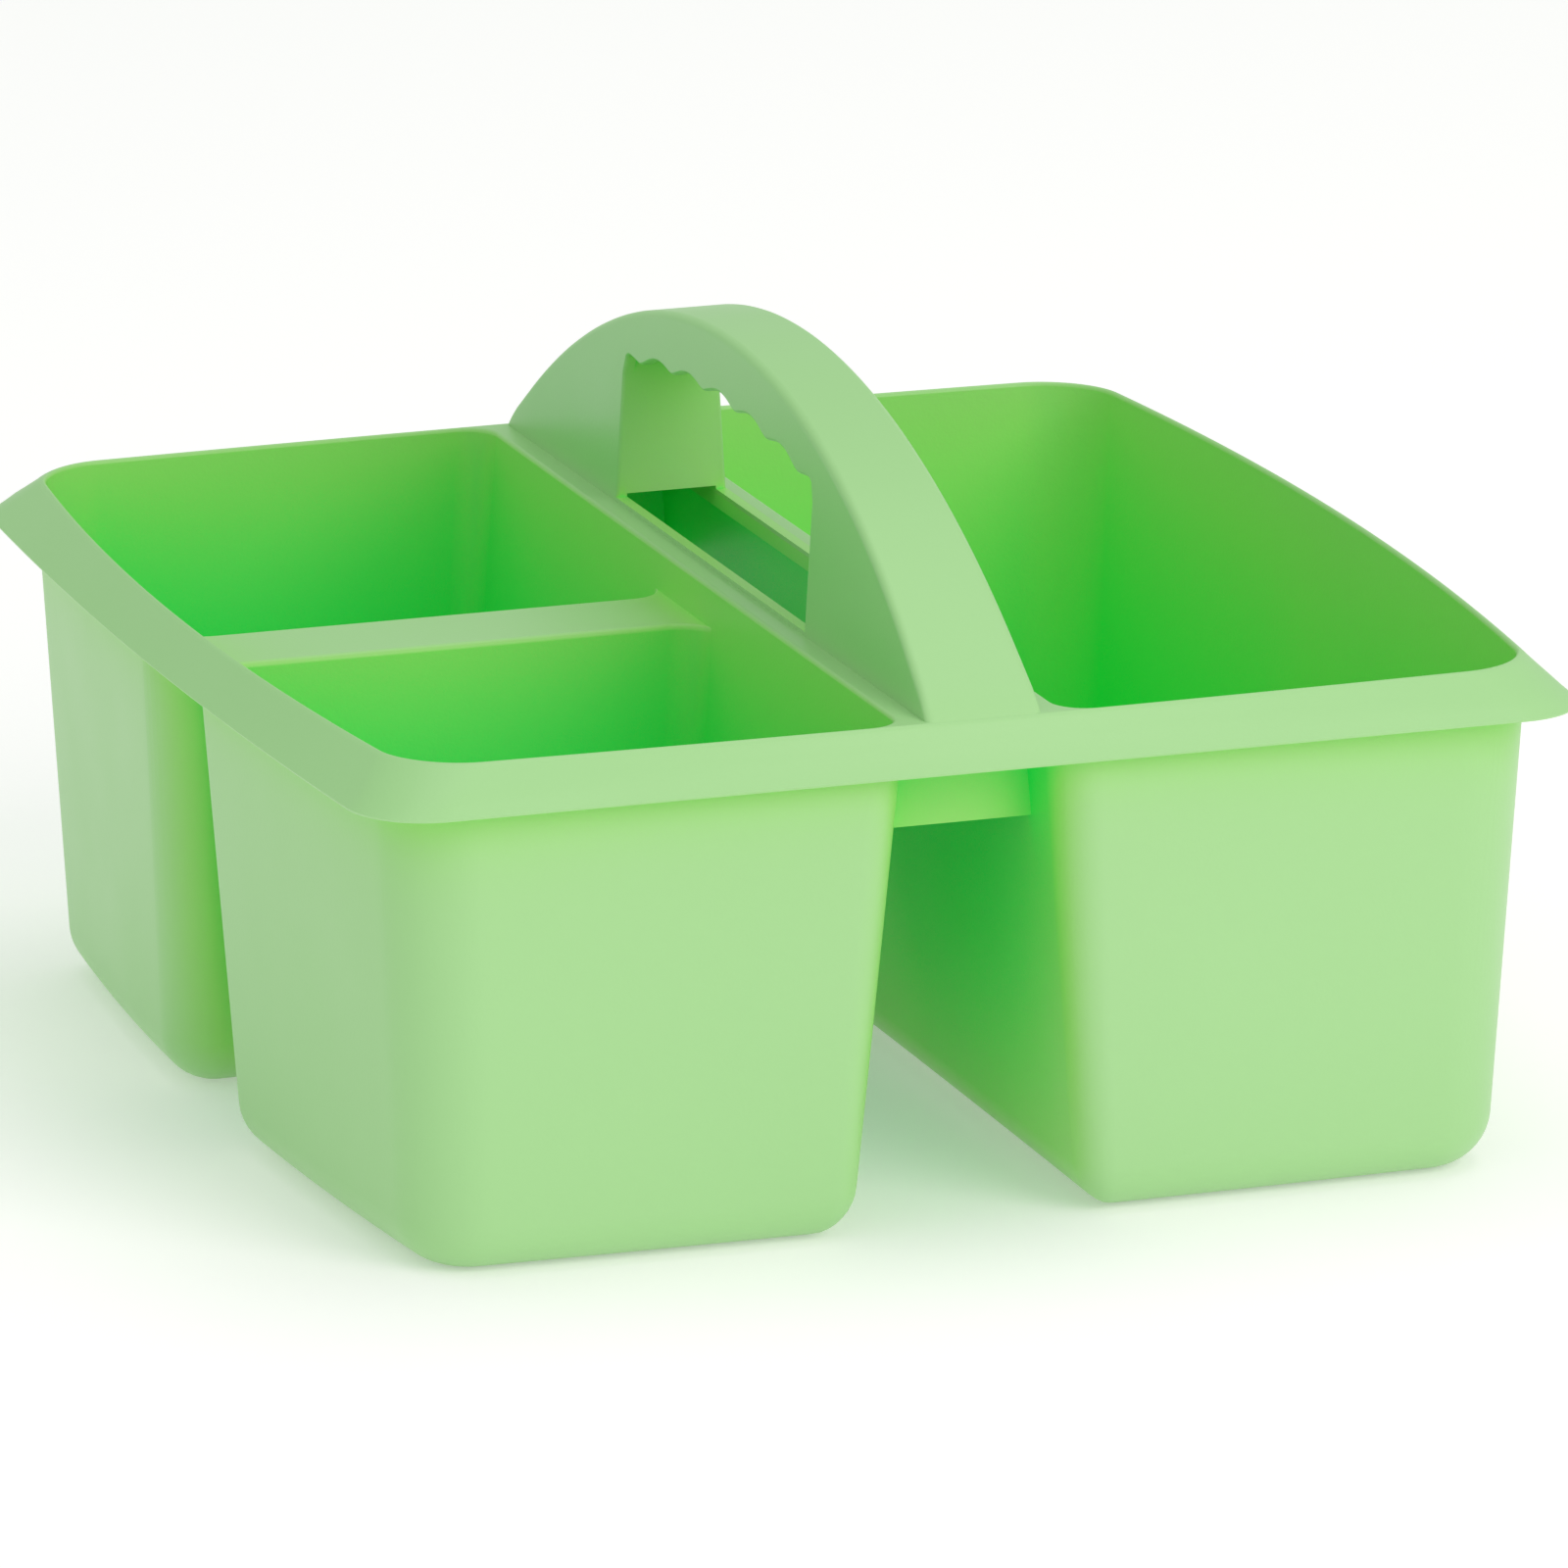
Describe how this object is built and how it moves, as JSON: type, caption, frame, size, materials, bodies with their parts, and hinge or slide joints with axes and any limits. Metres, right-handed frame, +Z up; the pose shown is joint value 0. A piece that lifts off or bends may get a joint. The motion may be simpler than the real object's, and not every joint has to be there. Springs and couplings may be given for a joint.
{
  "type": "cleaning caddy",
  "caption": "Moulded plastic cleaning caddy with open tubs either side of an arched carrying handle with a finger-grip hand opening, for bottles, brushes and cloths.",
  "frame": {"origin": "middle of the footprint, on the surface that the tubs stand on", "axes": "+Z up; Y runs along the handle; +X points from the two small tubs to the large tub"},
  "size_m": [0.229, 0.2356, 0.134],
  "materials": {
    "green_plastic": "semi-gloss moulded polypropylene, pale lime green, slightly translucent"
  },
  "bodies": {
    "root": {"large_tub": "green_plastic", "front_small_tub": "green_plastic", "rear_small_tub": "green_plastic", "rim_frame": "green_plastic", "small_tub_bridge": "green_plastic", "handle_band": "green_plastic", "handle_left_web": "green_plastic", "handle_right_web": "green_plastic", "front_leg_wall": "green_plastic", "rear_leg_wall": "green_plastic", "front_apron": "green_plastic", "rear_apron": "green_plastic"}
  },
  "joints": []
}
